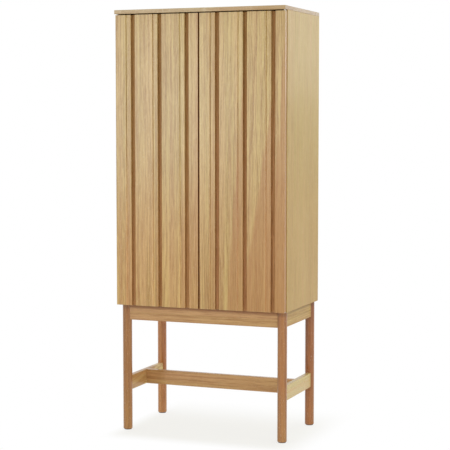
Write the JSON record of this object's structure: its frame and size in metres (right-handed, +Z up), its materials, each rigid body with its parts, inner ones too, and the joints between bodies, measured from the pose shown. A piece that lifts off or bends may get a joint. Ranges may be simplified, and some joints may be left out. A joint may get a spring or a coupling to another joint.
{
  "type": "tall cupboard",
  "caption": "Tall oak cupboard with two grooved-plank doors on hidden pivot hinges, shelves inside, and a stand of round legs joined by aprons and stretchers.",
  "frame": {"origin": "on the floor under the middle of the cupboard", "axes": "+Z up, -Y out of the front of the doors, +X to the right as seen from the front"},
  "size_m": [0.73, 0.43, 1.72],
  "materials": {
    "case_oak": "clear-lacquered pale oak veneer with fine straight grain",
    "door_oak": "clear-lacquered pale oak planks with upright grain",
    "door_backing_oak": "clear-lacquered oak board, a little browner in the grooves",
    "stand_oak": "clear-lacquered solid oak, slightly redder than the case",
    "back_board": "thin oak-veneered board, matt",
    "dowel_wood": "plain beech dowel",
    "hinge_metal": "satin nickel",
    "steel": "zinc-plated steel",
    "magnet": "ground steel pole face",
    "catch_body": "brown moulded plastic",
    "glide": "dark brown plastic",
    "bumper": "clear soft pad"
  },
  "bodies": {
    "case": {"back_apron": "stand_oak", "back_panel": "back_board", "bottom_panel": "case_oak", "case_dowels": "dowel_wood", "case_hinge_screws": "steel", "catch_housing": "catch_body", "catch_magnets": "magnet", "catch_screws": "steel", "centre_stretcher": "stand_oak", "foot_glides": "glide", "front_apron": "stand_oak", "hinge_pins": "steel", "hinge_washers": "hinge_metal", "left_apron": "stand_oak", "left_lower_hinge_arm": "hinge_metal", "left_side_panel": "case_oak", "left_side_stretcher": "stand_oak", "left_upper_hinge_plate": "hinge_metal", "leg_back_left": "stand_oak", "leg_back_right": "stand_oak", "leg_front_left": "stand_oak", "leg_front_right": "stand_oak", "lower_shelf": "case_oak", "middle_shelf": "case_oak", "right_apron": "stand_oak", "right_lower_hinge_arm": "hinge_metal", "right_side_panel": "case_oak", "right_side_stretcher": "stand_oak", "right_upper_hinge_plate": "hinge_metal", "shelf_pins": "steel", "stand_bolts": "steel", "top_panel": "case_oak", "upper_shelf": "case_oak", "wall_rail": "case_oak"},
    "left_door": {"left_door_backing": "door_backing_oak", "left_door_bumper": "bumper", "left_door_hinge_screws": "steel", "left_door_lower_leaf": "hinge_metal", "left_door_plank_1": "door_oak", "left_door_plank_2": "door_oak", "left_door_plank_3": "door_oak", "left_door_plank_4": "door_oak", "left_door_upper_leaf": "hinge_metal", "left_strike_plate": "steel", "left_strike_screw": "steel"},
    "right_door": {"right_door_backing": "door_backing_oak", "right_door_bumper": "bumper", "right_door_hinge_screws": "steel", "right_door_lower_leaf": "hinge_metal", "right_door_plank_1": "door_oak", "right_door_plank_2": "door_oak", "right_door_plank_3": "door_oak", "right_door_plank_4": "door_oak", "right_door_upper_leaf": "hinge_metal", "right_strike_plate": "steel", "right_strike_screw": "steel"}
  },
  "joints": [
    {"name": "left_door_hinge", "type": "hinge", "parent": "case", "child": "left_door", "pos_m": [-0.357, -0.199, 1.112], "axis": [0, 0, -1], "range_deg": [0, 105]},
    {"name": "right_door_hinge", "type": "hinge", "parent": "case", "child": "right_door", "pos_m": [0.357, -0.199, 1.112], "axis": [0, 0, 1], "range_deg": [0, 105]}
  ]
}
